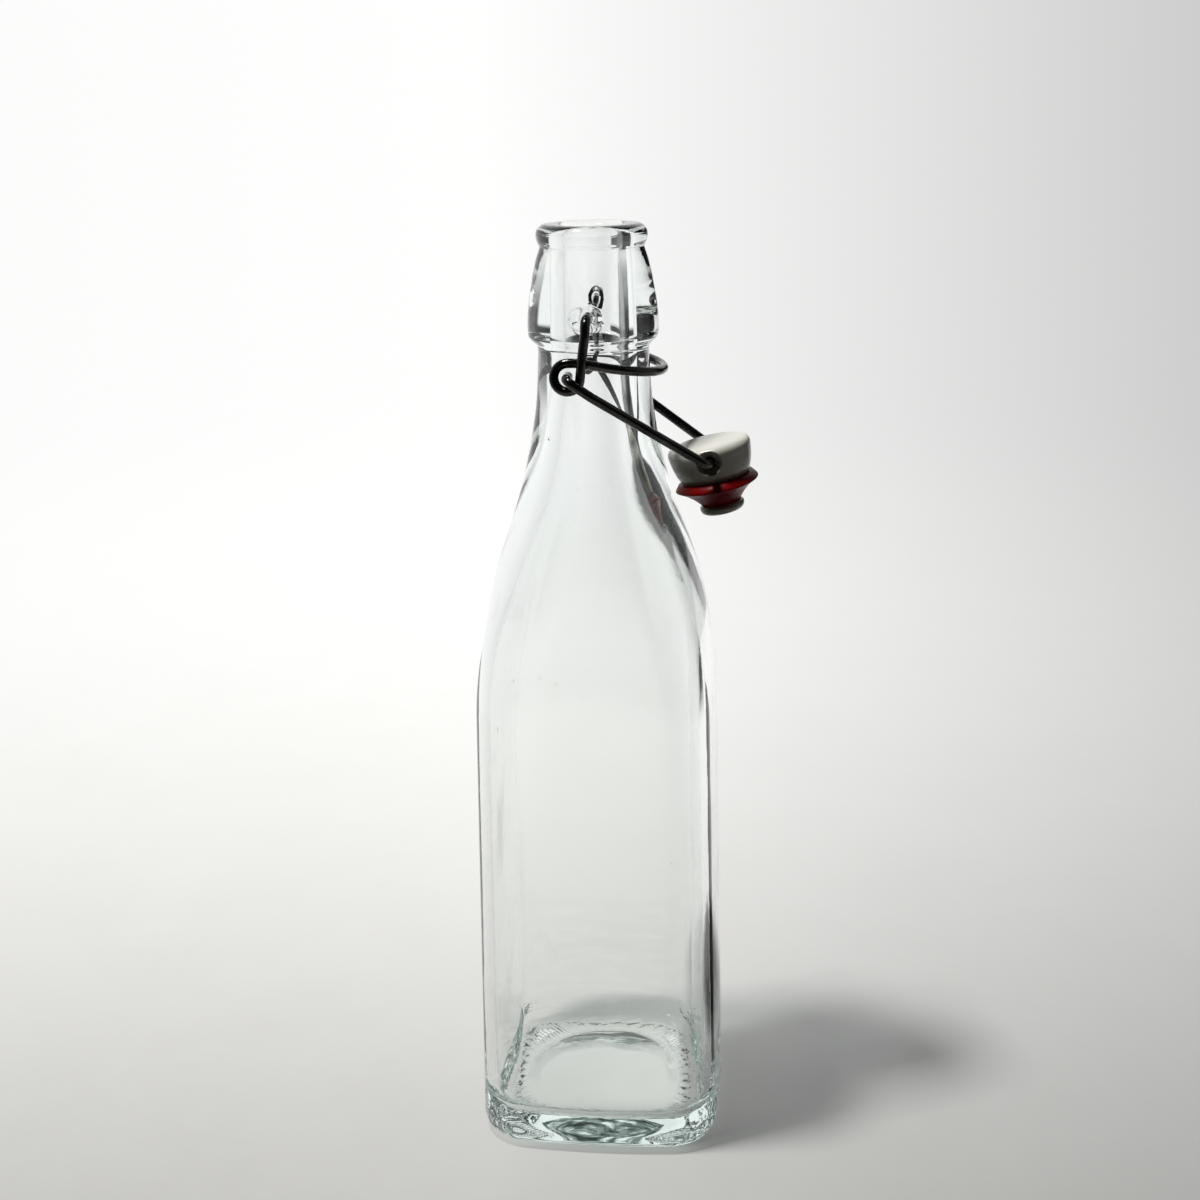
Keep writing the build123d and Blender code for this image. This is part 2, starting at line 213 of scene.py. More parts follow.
def sharp_by_angle(obj, degrees):
    """Keeps edges sharper than the angle crisp, and the rest smooth."""
    bm = bmesh.new()
    bm.from_mesh(obj.data)
    limit = math.radians(degrees)
    for e in bm.edges:
        e.smooth = not (len(e.link_faces) == 2 and e.calc_face_angle(0.0) > limit)
    for f in bm.faces:
        f.smooth = True
    bm.to_mesh(obj.data)
    bm.free()
    obj.data.update()


def boolean(obj, cutter, operation="DIFFERENCE"):
    m = obj.modifiers.new("cut", "BOOLEAN")
    m.object, m.operation, m.solver = cutter, operation, "EXACT"
    dg = bpy.context.evaluated_depsgraph_get()
    mesh = bpy.data.meshes.new_from_object(obj.evaluated_get(dg), depsgraph=dg)
    obj.modifiers.clear()
    old = obj.data
    obj.data = mesh
    bpy.data.meshes.remove(old)
    data = cutter.data
    bpy.data.objects.remove(cutter)
    bpy.data.meshes.remove(data)


def lathe(name, profile, origin, axis, side, n=128):
    """A closed solid turned about axis through origin; the profile is (radius, along axis), from axis to axis."""
    axis, side = np.asarray(axis, float), np.asarray(side, float)
    third = np.cross(axis, side)
    a = np.linspace(0, 2 * math.pi, n, endpoint=False)
    rings = []
    for r, v in profile[1:-1]:
        rings.append(
            np.asarray(origin) + v * axis
            + r * (np.cos(a)[:, None] * side + np.sin(a)[:, None] * third)
        )
    verts, faces = skin(rings)
    verts[-2] = np.asarray(origin) + profile[0][1] * axis
    verts[-1] = np.asarray(origin) + profile[-1][1] * axis
    obj = new_object(name, verts * MM, faces)
    fix_normals(obj)
    return obj


# ------------------------------------------------------------------ the glass
half_out = Cubic([z for z, _ in SHOULDER], [h for _, h in SHOULDER], 0.0, -0.16)
half_in = Cubic([z for z, _ in CAVITY], [h for _, h in CAVITY], 0.0, -0.14)


def outer_ring(z):
    half = float(half_out(z)) if z > SHOULDER[0][0] else BODY_HALF
    corner = ease(z, 116, NECK_FROM, BODY_CORNER, 16.50)
    corner = half if z >= NECK_FROM else min(corner, half)
    swell = math.radians(ease(z, 112, NECK_FROM, BODY_SWELL, 32.0))
    return ring(half, corner, swell, z)


def inner_ring(z):
    half = float(half_in(z)) if z > CAVITY[0][0] else INNER_HALF
    t = ease(z, 112, 182, 0.0, 1.0)
    corner = half * (INNER_CORNER / INNER_HALF * (1 - t) + t)
    corner = half if z >= NECK_FROM else min(corner, half)
    swell = math.radians(ease(z, 112, NECK_FROM, 5.5, 32.0))
    return ring(half, corner, swell, z)


def round_ring(r, z):
    return ring(r, r, math.radians(32.0), z)


def uneven(r, seed, amount, scale):
    """The slow unevenness of blown glass, along the section's own normal."""
    c = r[:, :2]
    t = np.roll(c, -1, 0) - np.roll(c, 1, 0)
    nrm = np.column_stack([t[:, 1], -t[:, 0]])
    nrm /= np.maximum(np.linalg.norm(nrm, axis=1), 1e-9)[:, None]
    w = amount * wave(seed, r[:, 0], r[:, 1], r[:, 2] * 0.45, scale)
    out = r.copy()
    out[:, :2] += nrm * w[:, None]
    return out


def make_bottle():
    rings = []
    # hollow under the base
    for r in (0.7, 1.8, 3.0):
        rings.append(round_ring(r, PUNT_H))
    for r in np.linspace(4.6, PUNT_R, 9):
        rings.append(round_ring(r, PUNT_H * (1 - ((r - FLAT_R) / (PUNT_R - FLAT_R)) ** 2)))
    # bearing ring with its ring of fine moulded bars
    start = round_ring(PUNT_R, 0.0)
    low_half, low_corner = BODY_HALF - HEEL_R, BODY_CORNER - HEEL_R
    stop = ring(low_half, low_corner, math.radians(BODY_SWELL), 0.0)
    bars = 0.5 - 0.5 * np.cos(np.arange(N) / N * 2 * math.pi * (N // 4))
    for i, t in enumerate(np.linspace(0, 1, 11)[1:]):
        rr = start * (1 - t) + stop * t
        depth = 0.26 * math.sin(math.pi * min(max((t - 0.12) / 0.76, 0.0), 1.0)) ** 0.6
        rr[:, 2] = bars * depth
        rings.append(rr)
    # heel
    for t in np.linspace(0, math.pi / 2, 15)[1:]:
        ins = HEEL_R * (1 - math.sin(t))
        z = HEEL_R * (1 - math.cos(t))
        rings.append(ring(BODY_HALF - ins, BODY_CORNER - ins, math.radians(BODY_SWELL), z))
    # faces
    first_wall = len(rings)
    for z in np.linspace(HEEL_R, 108, 24)[1:]:
        rings.append(outer_ring(z))
    for z in np.linspace(108, NECK_FROM, 60)[1:]:
        rings.append(outer_ring(z))
    for i in range(first_wall, len(rings)):
        z = rings[i][0, 2]
        keep = min(max((z - 8) / 14, 0), 1) * min(max((186 - z) / 20, 0), 1)
        bulge = np.abs(rings[i][:, :2]).max()
        moved = uneven(rings[i], 3, 0.09 * keep, 70)
        moved[:, :2] *= min(1.0, bulge / np.abs(moved[:, :2]).max())
        rings[i] = moved
    # neck
    neck = path_spline(NECK, (-0.16, 1.0), (-0.02, 1.0), 14)
    for r, z in neck[1:]:
        rings.append(round_ring(r, z))
    # the step under the finish, softened at both corners
    step = path_spline([(15.12, 208.6), (15.17, 209.35), (15.5, 210.3), (16.25, 211.2), (17.05, 211.9),
                        (17.5, 212.45), (17.72, 213.0)], (0.0, 1.0), (0.3, 1.0), 15)
    for r, z in step[1:]:
        rings.append(round_ring(r, z))
    # barrel-shaped finish, fine near the pivot dimples
    barrel = Cubic([z for _, z in BARREL], [r for r, _ in BARREL], 0.12, -0.34)
    for z in np.concatenate([np.linspace(213.0, 225.4, 42)[1:], np.linspace(225.4, 236.7, 14)[1:]]):
        rings.append(round_ring(float(barrel(z)), z))
    # groove, bead and lip
    bead = path_spline([(14.32, 236.7), (14.33, 237.25), (14.62, 237.85), (15.0, 238.6), (15.2, 239.5),
                        (LIP_R, BEAD_Z), (15.05, 241.4), (14.55, 242.2), (13.8, 242.85), (12.75, HEIGHT)],
                       (-0.1, 1.0), (-1.0, 0.12), 30)
    for r, z in bead[1:]:
        rings.append(round_ring(r, min(z, HEIGHT)))
    lip = path_spline([(12.75, HEIGHT), (11.3, HEIGHT), (9.7, HEIGHT - 0.05), (8.5, HEIGHT - 0.45),
                       (7.9, HEIGHT - 1.1), (BORE_R, HEIGHT - 2.2)], (-1.0, 0.0), (0.0, -1.0), 14)
    for r, z in lip[1:]:
        rings.append(round_ring(r, min(z, HEIGHT)))
    # bore
    inner_from = len(rings)
    for z in np.linspace(HEIGHT - 2.2, 206, 12)[1:]:
        rings.append(round_ring(BORE_R, z))
    bore = path_spline([(BORE_R, 206.0), (7.88, 200.0), (8.28, 195.0), (8.90, NECK_FROM)], (0.0, -1.0), (0.14, -1.0), 9)
    for r, z in bore[1:]:
        rings.append(round_ring(r, z))
    # shoulder and walls of the cavity
    for z in np.linspace(NECK_FROM, 104, 54)[1:]:
        rings.append(inner_ring(z))
    for z in np.linspace(104, FLOOR_Z + INNER_HEEL_R, 18)[1:]:
        rings.append(inner_ring(z))
    for i in range(inner_from, len(rings)):
        z = rings[i][0, 2]
        keep = min(max((z - 10) / 20, 0), 1) * (0.35 if z > 188 else 1.0)
        if z > 210:
            keep *= max(0.0, 1 - (z - 210) / 15)
        rings[i] = uneven(uneven(rings[i], 11, 0.20 * keep, 62), 12, 0.10 * keep, 27)
    # rounding between walls and floor, then the low dome of the floor
    for t in np.linspace(0, math.pi / 2, 14)[1:]:
        ins = INNER_HEEL_R * (1 - math.cos(t))
        z = FLOOR_Z + INNER_HEEL_R * (1 - math.sin(t))
        rings.append(ring(INNER_HALF - ins, INNER_CORNER - ins, math.radians(5.5), z))
    rim = rings[-1]
    flat = round_ring(FLOOR_DOME_R, FLOOR_Z)
    for t in (0.5, 1.0):
        rings.append(rim * (1 - t) + flat * t)
    for r in list(np.linspace(FLOOR_DOME_R, FLAT_R, 9)[1:]) + [1.8, 0.7]:
        z = FLOOR_Z + FLOOR_DOME_H * (1 - (max(r - FLAT_R, 0) / (FLOOR_DOME_R - FLAT_R)) ** 2)
        rings.append(round_ring(r, z))
    for i in range(len(rings)):                       # the floor is a little uneven too
        p = rings[i]
        inside = (p[:, 2] < 16) & (p[:, 2] > 5.5) & (np.hypot(p[:, 0], p[:, 1]) < 28)
        if i > inner_from:
            p[inside, 2] += 0.16 * wave(21, p[inside, 0], p[inside, 1], 0, 15)

    # pivot dimples pressed into the finish
    for i in range(first_wall, inner_from):
        p = rings[i]
        if abs(p[0, 2] - PIVOT_Z) > 8:
            continue
        d = np.hypot(p[:, 0], (p[:, 2] - PIVOT_Z) * 1.12)
        near = (d < 5.2) & (np.abs(p[:, 1]) > 12)
        t = np.clip((d - 1.5) / (4.5 - 1.5), 0, 1)
        depth = 3.0 * (1 - t * t * (3 - 2 * t)) ** 0.9
        y = np.abs(p[:, 1])
        p[near, 1] = np.sign(p[near, 1]) * (y[near] - depth[near])
    verts, faces = skin(rings)
    obj = new_object("bottle_glass", verts * MM, faces)
    fix_normals(obj)
    # the blind hole at the bottom of each dimple, for the wire's end
    for s in (-1, 1):
        prof = [(0, 11.6), (0.7, 11.6), (1.25, 11.75), (1.42, 12.1), (1.42, 13.4), (1.45, 14.2),
                (1.62, 14.9), (1.9, 15.6), (2.0, 16.4), (0, 16.4)]
        prof = [(r, v) for r, v in prof]
        cutter = lathe("cut", prof, (0, 0, PIVOT_Z), (0, s, 0), (1, 0, 0), 40)
        boolean(obj, cutter)
    sharp_by_angle(obj, 38)
    return obj


# ------------------------------------------------------------------ the wires
def tube(name, path, radius=WIRE_R, n=24, seed=5, flat=0.35):
    """A round wire along a path, with cropped ends that are slightly chamfered."""
    p = np.asarray(path, float)
    t = np.gradient(p, axis=0)
    t /= np.linalg.norm(t, axis=1)[:, None]
    u = np.cross(t[0], [0.3, 0.5, 0.81])
    u /= np.linalg.norm(u)
    rings = []
    a = np.linspace(0, 2 * math.pi, n, endpoint=False)
    s = np.concatenate([[0], np.cumsum(np.linalg.norm(np.diff(p, axis=0), axis=1))])
    total = s[-1]
    for i in range(len(p)):
        u = u - t[i] * np.dot(u, t[i])
        u /= np.linalg.norm(u)
        v = np.cross(t[i], u)
        r = radius * (1 - 0.010 * abs(math.sin(s[i] * 0.37 + seed)) - 0.006 * abs(math.sin(s[i] * 1.31 + 2 * seed)))
        rings.append(p[i] + r * (np.cos(a)[:, None] * u + np.sin(a)[:, None] * v))
    first, last = rings[0], rings[-1]
    head = [first.mean(0) + (first - first.mean(0)) * k + t[0] * d
            for k, d in ((0.35, 0.0), (0.8, 0.0), (0.93, 0.06), (1.0, flat * 0.7))]
    tail = [last.mean(0) + (last - last.mean(0)) * k - t[-1] * d
            for k, d in ((1.0, flat * 0.7), (0.93, 0.06), (0.8, 0.0), (0.35, 0.0))]
    body = [r for r, q in zip(rings, s) if flat < q < total - flat]
    verts, faces = skin(head + body + tail)
    obj = new_object(name, verts * MM, faces)
    fix_normals(obj)
    sharp_by_angle(obj, 50)
    return obj


def lever_path():
    points = [(0.0, -y, PIVOT_Z) for y in (WIRE_END_Y, 13.2, 14.4, 15.5)]
    bend = 3.1
    for k in range(5):
        a = math.radians(22.5 * k)
        points.append((-0.03 * k, -(ARM_Y - bend) - bend * math.sin(a), PIVOT_Z - bend + bend * math.cos(a)))
    points += [(-0.55, -ARM_Y, 212.6), (-1.05, -ARM_Y, 208.8)]
    for k in range(13):
        t = k / 12
        a = math.radians(-270.0 * t)
        e = t * t * (3 - 2 * t)
        points.append((EYE[0] + EYE_R * math.cos(a), -(ARM_Y + (HANDLE_Y - ARM_Y) * e), EYE[1] + EYE_R * math.sin(a)))
    points.append((-1.7, -HANDLE_Y, 207.35))
    for k in range(8):
        a = math.radians(11.25 * k)
        x = HANDLE_X - HANDLE_Y + HANDLE_Y * math.sin(a)
        points.append((x, -HANDLE_Y * math.cos(a), HANDLE_Z + (HANDLE_X - x) * HANDLE_SLOPE))
    points = points + [(HANDLE_X, 0.0, HANDLE_Z)] + [(x, -y, z) for x, y, z in reversed(points)]
    return path_spline(points, (0, -1, 0), (0, -1, 0), 620)


def bail_path():
    """The bail's flat outline with rounded corners, laid in its plane."""
    corners = [
        (BAIL_LENGTH, BAIL_STUB_Y), (BAIL_LENGTH, BAIL_EYE_Y), (36.0, BAIL_EYE_Y), (0, BAIL_STOP_Y),
        (0, -BAIL_STOP_Y), (36.0, -BAIL_EYE_Y), (BAIL_LENGTH, -BAIL_EYE_Y), (BAIL_LENGTH, -BAIL_STUB_Y),
    ]
    c = np.array(corners, float)
    out = [c[0]]
    for i in range(1, len(c) - 1):
        a, b = c[i - 1] - c[i], c[i + 1] - c[i]
        a /= np.linalg.norm(a)
        b /= np.linalg.norm(b)
        ang = math.acos(np.clip(np.dot(a, b), -1, 1))
        r = 2.5
        d = r / math.tan(ang / 2)
        mid = (a + b) / np.linalg.norm(a + b)
        centre = c[i] + mid * r / math.sin(ang / 2)
        p0, p1 = c[i] + a * d, c[i] + b * d
        v0, v1 = p0 - centre, p1 - centre
        w = math.pi - ang
        for k in range(11):
            t = k / 10
            out.append(centre + (math.sin((1 - t) * w) * v0 + math.sin(t * w) * v1) / max(math.sin(w), 1e-9)
                       if w > 1e-3 else p0 * (1 - t) + p1 * t)
    out.append(c[-1])
    p = np.array(out)
    s = np.concatenate([[0], np.cumsum(np.linalg.norm(np.diff(p, axis=0), axis=1))])
    keep = np.concatenate([[True], np.diff(s) > 1e-6])
    p, s = p[keep], s[keep]
    t = np.linspace(0, s[-1], 480)
    u, y = np.interp(t, s, p[:, 0]), np.interp(t, s, p[:, 1])
    cx, cz = -math.cos(BAIL_DIP), math.sin(BAIL_DIP)
    return np.column_stack([STOP[0] + u * cx, -y, STOP[1] + u * cz])


# ------------------------------------------------------- stopper and gasket
UP = (-math.sin(TILT), 0, math.cos(TILT))
OUT = (math.cos(TILT), 0, math.sin(TILT))


def smooth_profile(points, n=6):
    """Rounds a profile by sampling a spline through runs of points; None marks a crisp corner."""
    runs, run = [], []
    for p in points:
        if p is None:
            runs.append(run)
            run = [run[-1]]
        else:
            run.append(p)
    runs.append(run)
    out = [runs[0][0]]
    for run in runs:
        if len(run) == 2:
            out.append(run[1])
        elif len(run) > 2:
            out += [tuple(q) for q in path_spline(run, count=n * (len(run) - 1) + 1)[1:]]
    return out


def make_stopper():
    prof = smooth_profile([
        (0, 4.8), (2.4, 4.76), (4.7, 4.67), (7.0, 4.5), (8.8, 4.34), (9.8, 4.18), (10.6, 3.85), (11.13, 3.25),
        (11.36, 2.5), (11.36, 1.7), (11.22, 0.6), (10.95, -1.0), (10.5, -2.7), (9.95, -4.2), (9.42, -5.2), None,
        (9.2, -5.6), None, (4.15, -5.6), None, (4.0, -5.8), None, (4.0, -12.6), None, (4.1, -12.75), None,
        (5.6, -12.75), (5.95, -13.0), (6.1, -13.6), (6.0, -14.15), (5.6, -14.75), (4.9, -15.15), (3.6, -15.37),
        (2.0, -15.4), (0, -15.4),
    ])
    obj = lathe("stopper_crown", prof, (STOP[0], 0, STOP[1]), UP, OUT, 144)
    hole = smooth_profile([
        (0, -13.2), None, (4.9, -13.2), None, (4.2, -11.6), (3.7, -10.9), (3.0, -10.1), (2.25, -9.2), (1.8, -8.5),
        (1.66, -7.8), None, (1.65, 0), None, (1.66, 7.8), (1.8, 8.5), (2.25, 9.2), (3.0, 10.1), (3.7, 10.9),
        (4.2, 11.6), None, (4.9, 13.2), None, (0, 13.2),
    ], 4)
    boolean(obj, lathe("cut", hole, (STOP[0], 0, STOP[1]), (0, 1, 0), (1, 0, 0), 56))
    sharp_by_angle(obj, 34)
    return obj


def make_gasket():
    prof = smooth_profile([
        (4.07, -5.75), None, (10.1, -5.75), None, (10.4, -5.85), None, (11.44, -7.2), None,
        (11.5, -7.35), (11.48, -7.6), (11.3, -7.8), None, (10.6, -8.15), (9.1, -8.95), (7.9, -9.85),
        (6.9, -10.75), (6.05, -11.7), (5.5, -12.35), None, (5.3, -12.6), None, (4.07, -12.6),
    ], 5)
    # a closed ring: the profile runs from bore to bore, and the last run closes along the bore
    n = 160
    a = np.linspace(0, 2 * math.pi, n, endpoint=False)
    up, out = np.array(UP), np.array(OUT)
    third = np.cross(up, out)
    centre = np.array((STOP[0], 0, STOP[1]))
    rings = []
    for r, v in prof:
        edge = max(0.0, (r - 8.0) / 3.5)
        rr = r * (1 - 0.007 * edge * (0.5 + 0.5 * np.sin(3 * a + 1.1)) - 0.005 * edge * (0.5 + 0.5 * np.sin(7 * a)))
        vv = v + 0.20 * edge * np.sin(2 * a + 0.6) * (1 if r < 11.6 else 0)
        rings.append(centre + vv[:, None] * up + rr[:, None] * (np.cos(a)[:, None] * out + np.sin(a)[:, None] * third))
    verts = np.concatenate(rings)
    m = len(rings)
    faces = []
    for i in range(m):
        b, c = i * n, ((i + 1) % m) * n
        for j in range(n):
            k = (j + 1) % n
            faces.append((b + j, b + k, c + k, c + j))
    obj = new_object("gasket_rubber", verts * MM, faces)
    fix_normals(obj)
    sharp_by_angle(obj, 38)
    return obj


# ------------------------------------------------------------------ materials
def material(name):
    m = bpy.data.materials.new(name)
    m.use_nodes = True
    nt = m.node_tree
    nt.nodes.clear()
    out = nt.nodes.new("ShaderNodeOutputMaterial")
    return m, nt, out


def node(nt, kind, **values):
    n = nt.nodes.new(kind)
    for k, v in values.items():
        if k in n.inputs:
            n.inputs[k].default_value = v
        else:
            setattr(n, k, v)
    return n


def link(nt, a, b):
    nt.links.new(a, b)


def ramp(nt, stops, fac=None, interpolation="LINEAR"):
    n = nt.nodes.new("ShaderNodeValToRGB")
    n.color_ramp.interpolation = interpolation
    e = n.color_ramp.elements
    while len(e) > 1:
        e.remove(e[-1])
    for i, (p, c) in enumerate(stops):
        c = (c, c, c, 1) if not hasattr(c, "__len__") else (*c, 1)
        if i == 0:
            e[0].position, e[0].color = p, c
        else:
            x = e.new(p)
            x.color = c
    if fac is not None:
        link(nt, fac, n.inputs["Fac"])
    return n


def maths(nt, op, a, b=None):
    n = node(nt, "ShaderNodeMath", operation=op)
    for i, v in enumerate((a, b)):
        if v is None:
            continue
        if isinstance(v, (int, float)):
            n.inputs[i].default_value = v
        else:
            link(nt, v, n.inputs[i])
    return n.outputs[0]


def vmath(nt, op, a, b=None, out=0):
    n = node(nt, "ShaderNodeVectorMath", operation=op)
    for i, v in enumerate((a, b)):
        if v is None:
            continue
        if isinstance(v, tuple):
            n.inputs[i].default_value = v
        else:
            link(nt, v, n.inputs[i])
    return n.outputs[out]


def soft_step(nt, value, start, end, first, last):
    n = node(nt, "ShaderNodeMapRange", interpolation_type="SMOOTHSTEP")
    for k, v in (("From Min", start), ("From Max", end), ("To Min", first), ("To Max", last)):
        n.inputs[k].default_value = v
    link(nt, value, n.inputs["Value"])
    return n.outputs["Result"]


def glass_material():
    m, nt, out = material("clear_glass")
    coord = node(nt, "ShaderNodeTexCoord")
    glass = node(nt, "ShaderNodeBsdfPrincipled")
    tint = node(nt, "ShaderNodeMix", data_type="RGBA")
    tint.inputs[6].default_value, tint.inputs[7].default_value = (0.970, 0.977, 0.970, 1), (1, 1, 1, 1)
    height = node(nt, "ShaderNodeSeparateXYZ")
    link(nt, coord.outputs["Object"], height.inputs[0])
    link(nt, soft_step(nt, height.outputs["Z"], 0.150, 0.200, 0.0, 1.0), tint.inputs[0])
    link(nt, tint.outputs[2], glass.inputs["Base Color"])
    glass.inputs["Transmission Weight"].default_value = 1.0
    glass.inputs["IOR"].default_value = 1.517
    glass.inputs["Roughness"].default_value = 0.0
    # slow ripple of the mould and of the blown inside, and a few tiny seeds
    slow = node(nt, "ShaderNodeTexNoise", Scale=38.0, Detail=1.5, Roughness=0.4)
    link(nt, coord.outputs["Object"], slow.inputs["Vector"])
    fine = node(nt, "ShaderNodeTexNoise", Scale=210.0, Detail=2.0, Roughness=0.5)
    link(nt, coord.outputs["Object"], fine.inputs["Vector"])
    b1 = node(nt, "ShaderNodeBump", Strength=0.10, Distance=0.0018)
    link(nt, slow.outputs["Fac"], b1.inputs["Height"])
    b2 = node(nt, "ShaderNodeBump", Strength=0.035, Distance=0.0006)
    link(nt, fine.outputs["Fac"], b2.inputs["Height"])
    link(nt, b1.outputs["Normal"], b2.inputs["Normal"])
    seeds = node(nt, "ShaderNodeTexVoronoi", Scale=95.0)
    link(nt, coord.outputs["Object"], seeds.inputs["Vector"])
    dots = ramp(nt, [(0.0, 1.0), (0.035, 1.0), (0.06, 0.0)], seeds.outputs["Distance"])
    some = node(nt, "ShaderNodeTexNoise", Scale=31.0, Detail=0.0)
    link(nt, coord.outputs["Object"], some.inputs["Vector"])
    pick = ramp(nt, [(0.0, 0.0), (0.62, 0.0), (0.66, 1.0)], some.outputs["Fac"])
    mul = node(nt, "ShaderNodeMath", operation="MULTIPLY")
    link(nt, dots.outputs["Color"], mul.inputs[0])
    link(nt, pick.outputs["Color"], mul.inputs[1])
    b3 = node(nt, "ShaderNodeBump", Strength=0.5, Distance=0.0004)
    link(nt, mul.outputs[0], b3.inputs["Height"])
    link(nt, b2.outputs["Normal"], b3.inputs["Normal"])
    # the foot was pressed: small dents all over its underside and the floor above it
    mark = node(nt, "ShaderNodeTexNoise", Scale=240.0, Detail=2.0, Roughness=0.55)
    link(nt, coord.outputs["Object"], mark.inputs["Vector"])
    foot = node(nt, "ShaderNodeSeparateXYZ")
    link(nt, coord.outputs["Object"], foot.inputs[0])
    low = soft_step(nt, foot.outputs["Z"], 0.0085, 0.0125, 1.0, 0.0)
    wide = maths(nt, "MAXIMUM", maths(nt, "ABSOLUTE", foot.outputs["X"]), maths(nt, "ABSOLUTE", foot.outputs["Y"]))
    band = maths(nt, "MULTIPLY", soft_step(nt, wide, 0.0215, 0.0240, 0.0, 1.0), soft_step(nt, wide, 0.0293, 0.0303, 1.0, 0.0))
    band = maths(nt, "MULTIPLY", band, low)
    dents = maths(nt, "MULTIPLY", mark.outputs["Fac"], band)
    b4 = node(nt, "ShaderNodeBump", Strength=0.45, Distance=0.0012)
    link(nt, dents, b4.inputs["Height"])
    link(nt, b3.outputs["Normal"], b4.inputs["Normal"])
    link(nt, b4.outputs["Normal"], glass.inputs["Normal"])
    # light that only casts shadows goes through: nearly all of it straight through, less where the wall is
    # seen edge on, and least through the side away from the lamp, which bends it elsewhere
    facing = node(nt, "ShaderNodeLayerWeight", Blend=0.42)
    shade = ramp(nt, [(0.0, (0.985, 0.99, 0.985)), (0.55, (0.95, 0.96, 0.955)), (0.80, (0.78, 0.79, 0.785)),
                      (1.0, (0.25, 0.26, 0.255))], facing.outputs["Facing"])
    place = node(nt, "ShaderNodeSeparateXYZ")
    link(nt, node(nt, "ShaderNodeNewGeometry").outputs["Position"], place.inputs[0])
    high = node(nt, "ShaderNodeMapRange", interpolation_type="SMOOTHSTEP")
    for k, v in (("From Min", 0.13), ("From Max", 0.20), ("To Min", 0.0), ("To Max", 0.018)):
        high.inputs[k].default_value = v
    link(nt, place.outputs["Z"], high.inputs["Value"])
    far_side = node(nt, "ShaderNodeMath", operation="ADD")
    link(nt, place.outputs["X"], far_side.inputs[0])
    link(nt, high.outputs["Result"], far_side.inputs[1])
    lee = node(nt, "ShaderNodeMapRange", interpolation_type="SMOOTHSTEP")
    for k, v in (("From Min", 0.020), ("From Max", 0.0285), ("To Min", 1.0), ("To Max", 0.50)):
        lee.inputs[k].default_value = v
    link(nt, far_side.outputs[0], lee.inputs["Value"])
    shaded = node(nt, "ShaderNodeVectorMath", operation="SCALE")
    link(nt, shade.outputs["Color"], shaded.inputs[0])
    link(nt, lee.outputs["Result"], shaded.inputs["Scale"])
    clear = node(nt, "ShaderNodeBsdfTransparent")
    link(nt, shaded.outputs[0], clear.inputs["Color"])
    path = node(nt, "ShaderNodeLightPath")
    either = node(nt, "ShaderNodeMath", operation="MAXIMUM")
    link(nt, path.outputs["Is Shadow Ray"], either.inputs[0])
    link(nt, path.outputs["Is Diffuse Ray"], either.inputs[1])
    # painted glow: rays that have been thrown about inside the thick foot many times end in an emission of mottled grey
    # green, in place of the light they would bring out
    cloud = node(nt, "ShaderNodeTexNoise", Scale=260.0, Detail=3.5, Roughness=0.62)
    link(nt, vmath(nt, "MULTIPLY", coord.outputs["Object"], (0.55, 1.0, 1.5)), cloud.inputs["Vector"])
    tones = ramp(nt, [(0.36, (0.015, 0.022, 0.02)), (0.46, (0.11, 0.145, 0.13)), (0.54, (0.30, 0.35, 0.33)),
                      (0.62, (0.86, 0.90, 0.87))], cloud.outputs["Fac"])
    painted_foot_glow = node(nt, "ShaderNodeEmission", Strength=1.0)
    link(nt, tones.outputs["Color"], painted_foot_glow.inputs["Color"])
    inner = node(nt, "ShaderNodeMixShader")
    deep = maths(nt, "GREATER_THAN", path.outputs["Ray Depth"], 4.5)
    in_foot = maths(nt, "LESS_THAN", foot.outputs["Z"], 0.012)
    link(nt, maths(nt, "MULTIPLY", deep, in_foot), inner.inputs["Fac"])
    link(nt, glass.outputs[0], inner.inputs[1])
    link(nt, painted_foot_glow.outputs[0], inner.inputs[2])
    m.cycles.emission_sampling = "NONE"
    mix = node(nt, "ShaderNodeMixShader")
    link(nt, either.outputs[0], mix.inputs["Fac"])
    link(nt, inner.outputs[0], mix.inputs[1])
    link(nt, clear.outputs[0], mix.inputs[2])
    link(nt, mix.outputs[0], out.inputs["Surface"])
    # the faint green of thick glass
    vol = node(nt, "ShaderNodeVolumeAbsorption", Density=3.2)
    vol.inputs["Color"].default_value = (0.30, 0.80, 0.70, 1)
    link(nt, vol.outputs[0], out.inputs["Volume"])
    return m


def wire_material():
    m, nt, out = material("spring_wire")
    coord = node(nt, "ShaderNodeTexCoord")
    noise = node(nt, "ShaderNodeTexNoise", Scale=420.0, Detail=6.0, Roughness=0.65)
    link(nt, coord.outputs["Object"], noise.inputs["Vector"])
    patch = node(nt, "ShaderNodeTexNoise", Scale=95.0, Detail=3.0, Roughness=0.6)
    link(nt, coord.outputs["Object"], patch.inputs["Vector"])
    colour = ramp(nt, [(0.30, (0.022, 0.022, 0.021)), (0.50, (0.045, 0.044, 0.042)), (0.72, (0.10, 0.098, 0.093))],
                  patch.outputs["Fac"])
    rough = ramp(nt, [(0.25, 0.11), (0.55, 0.17), (0.8, 0.28)], noise.outputs["Fac"])
    b = node(nt, "ShaderNodeBump", Strength=0.22, Distance=0.00012)
    link(nt, noise.outputs["Fac"], b.inputs["Height"])
    p = node(nt, "ShaderNodeBsdfPrincipled", Metallic=1.0)
    link(nt, colour.outputs["Color"], p.inputs["Base Color"])
    link(nt, rough.outputs["Color"], p.inputs["Roughness"])
    link(nt, b.outputs["Normal"], p.inputs["Normal"])
    link(nt, p.outputs[0], out.inputs["Surface"])
    return m


